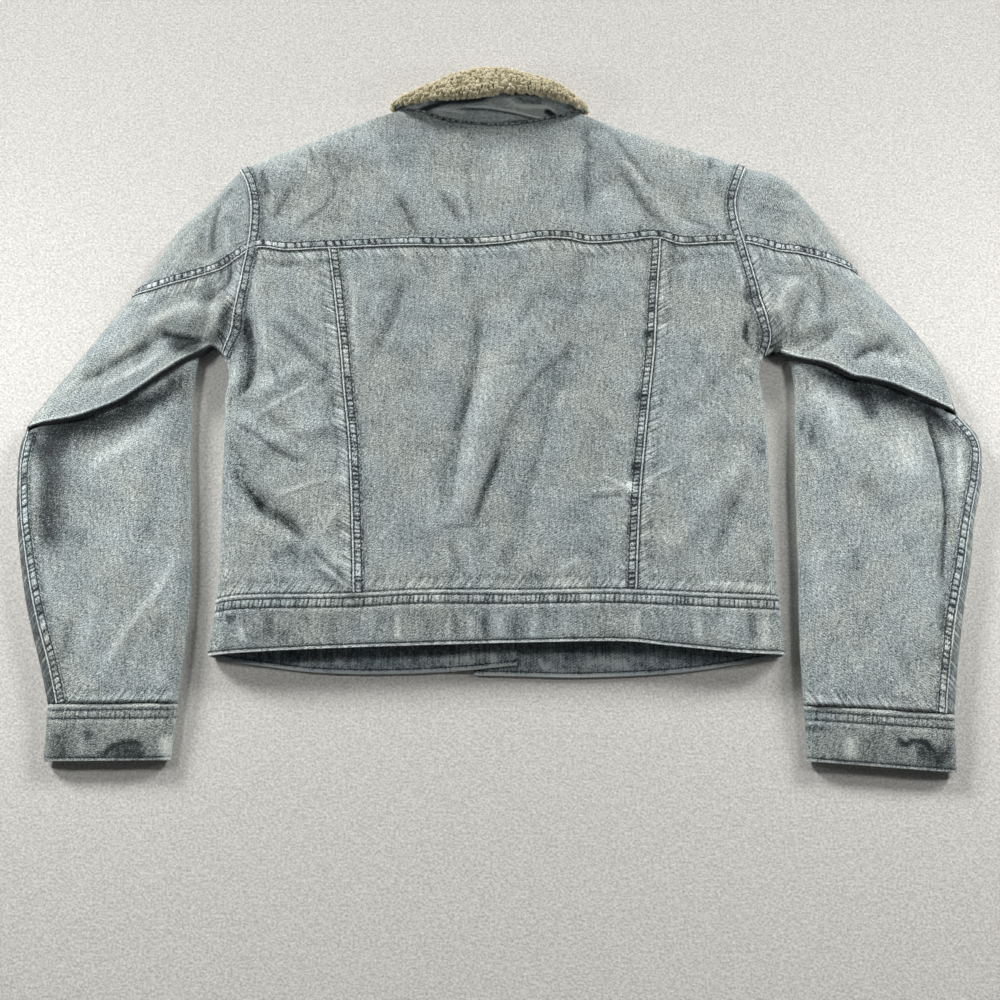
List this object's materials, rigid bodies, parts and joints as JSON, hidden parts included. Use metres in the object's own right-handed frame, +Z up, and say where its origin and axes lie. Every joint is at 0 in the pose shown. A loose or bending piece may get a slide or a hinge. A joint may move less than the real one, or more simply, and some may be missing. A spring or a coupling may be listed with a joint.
{
  "type": "denim jacket",
  "caption": "Cropped denim jacket with a pile collar, laid flat with its back up: back yoke, shaped back panels, waistband, bent sleeves folded at the elbow and plain cuffs.",
  "frame": {"origin": "centre of the bounding box on the surface the jacket lies on", "axes": "+X from the left sleeve to the right one (the wearer's), +Y from the hem to the collar, +Z up from the surface to the back of the jacket"},
  "size_m": [0.924, 0.6994, 0.0487],
  "materials": {
    "denim": "stone-washed blue-grey twill, matt",
    "denim_inside": "dark inside of the twill, matt",
    "pile": "cream curly pile"
  },
  "bodies": {
    "root": {"back_centre": "denim", "back_yoke": "denim", "waistband_back": "denim", "collar_denim": "denim", "collar_sherpa": "pile", "back_side_left": "denim", "front_left": "denim_inside", "waistband_front_left": "denim_inside", "sleeve_front_left": "denim", "sleeve_back_upper_left": "denim", "sleeve_back_fore_left": "denim", "cuff_left": "denim", "back_side_right": "denim", "front_right": "denim_inside", "waistband_front_right": "denim_inside", "sleeve_front_right": "denim", "sleeve_back_upper_right": "denim", "sleeve_back_fore_right": "denim", "cuff_right": "denim"}
  },
  "joints": []
}
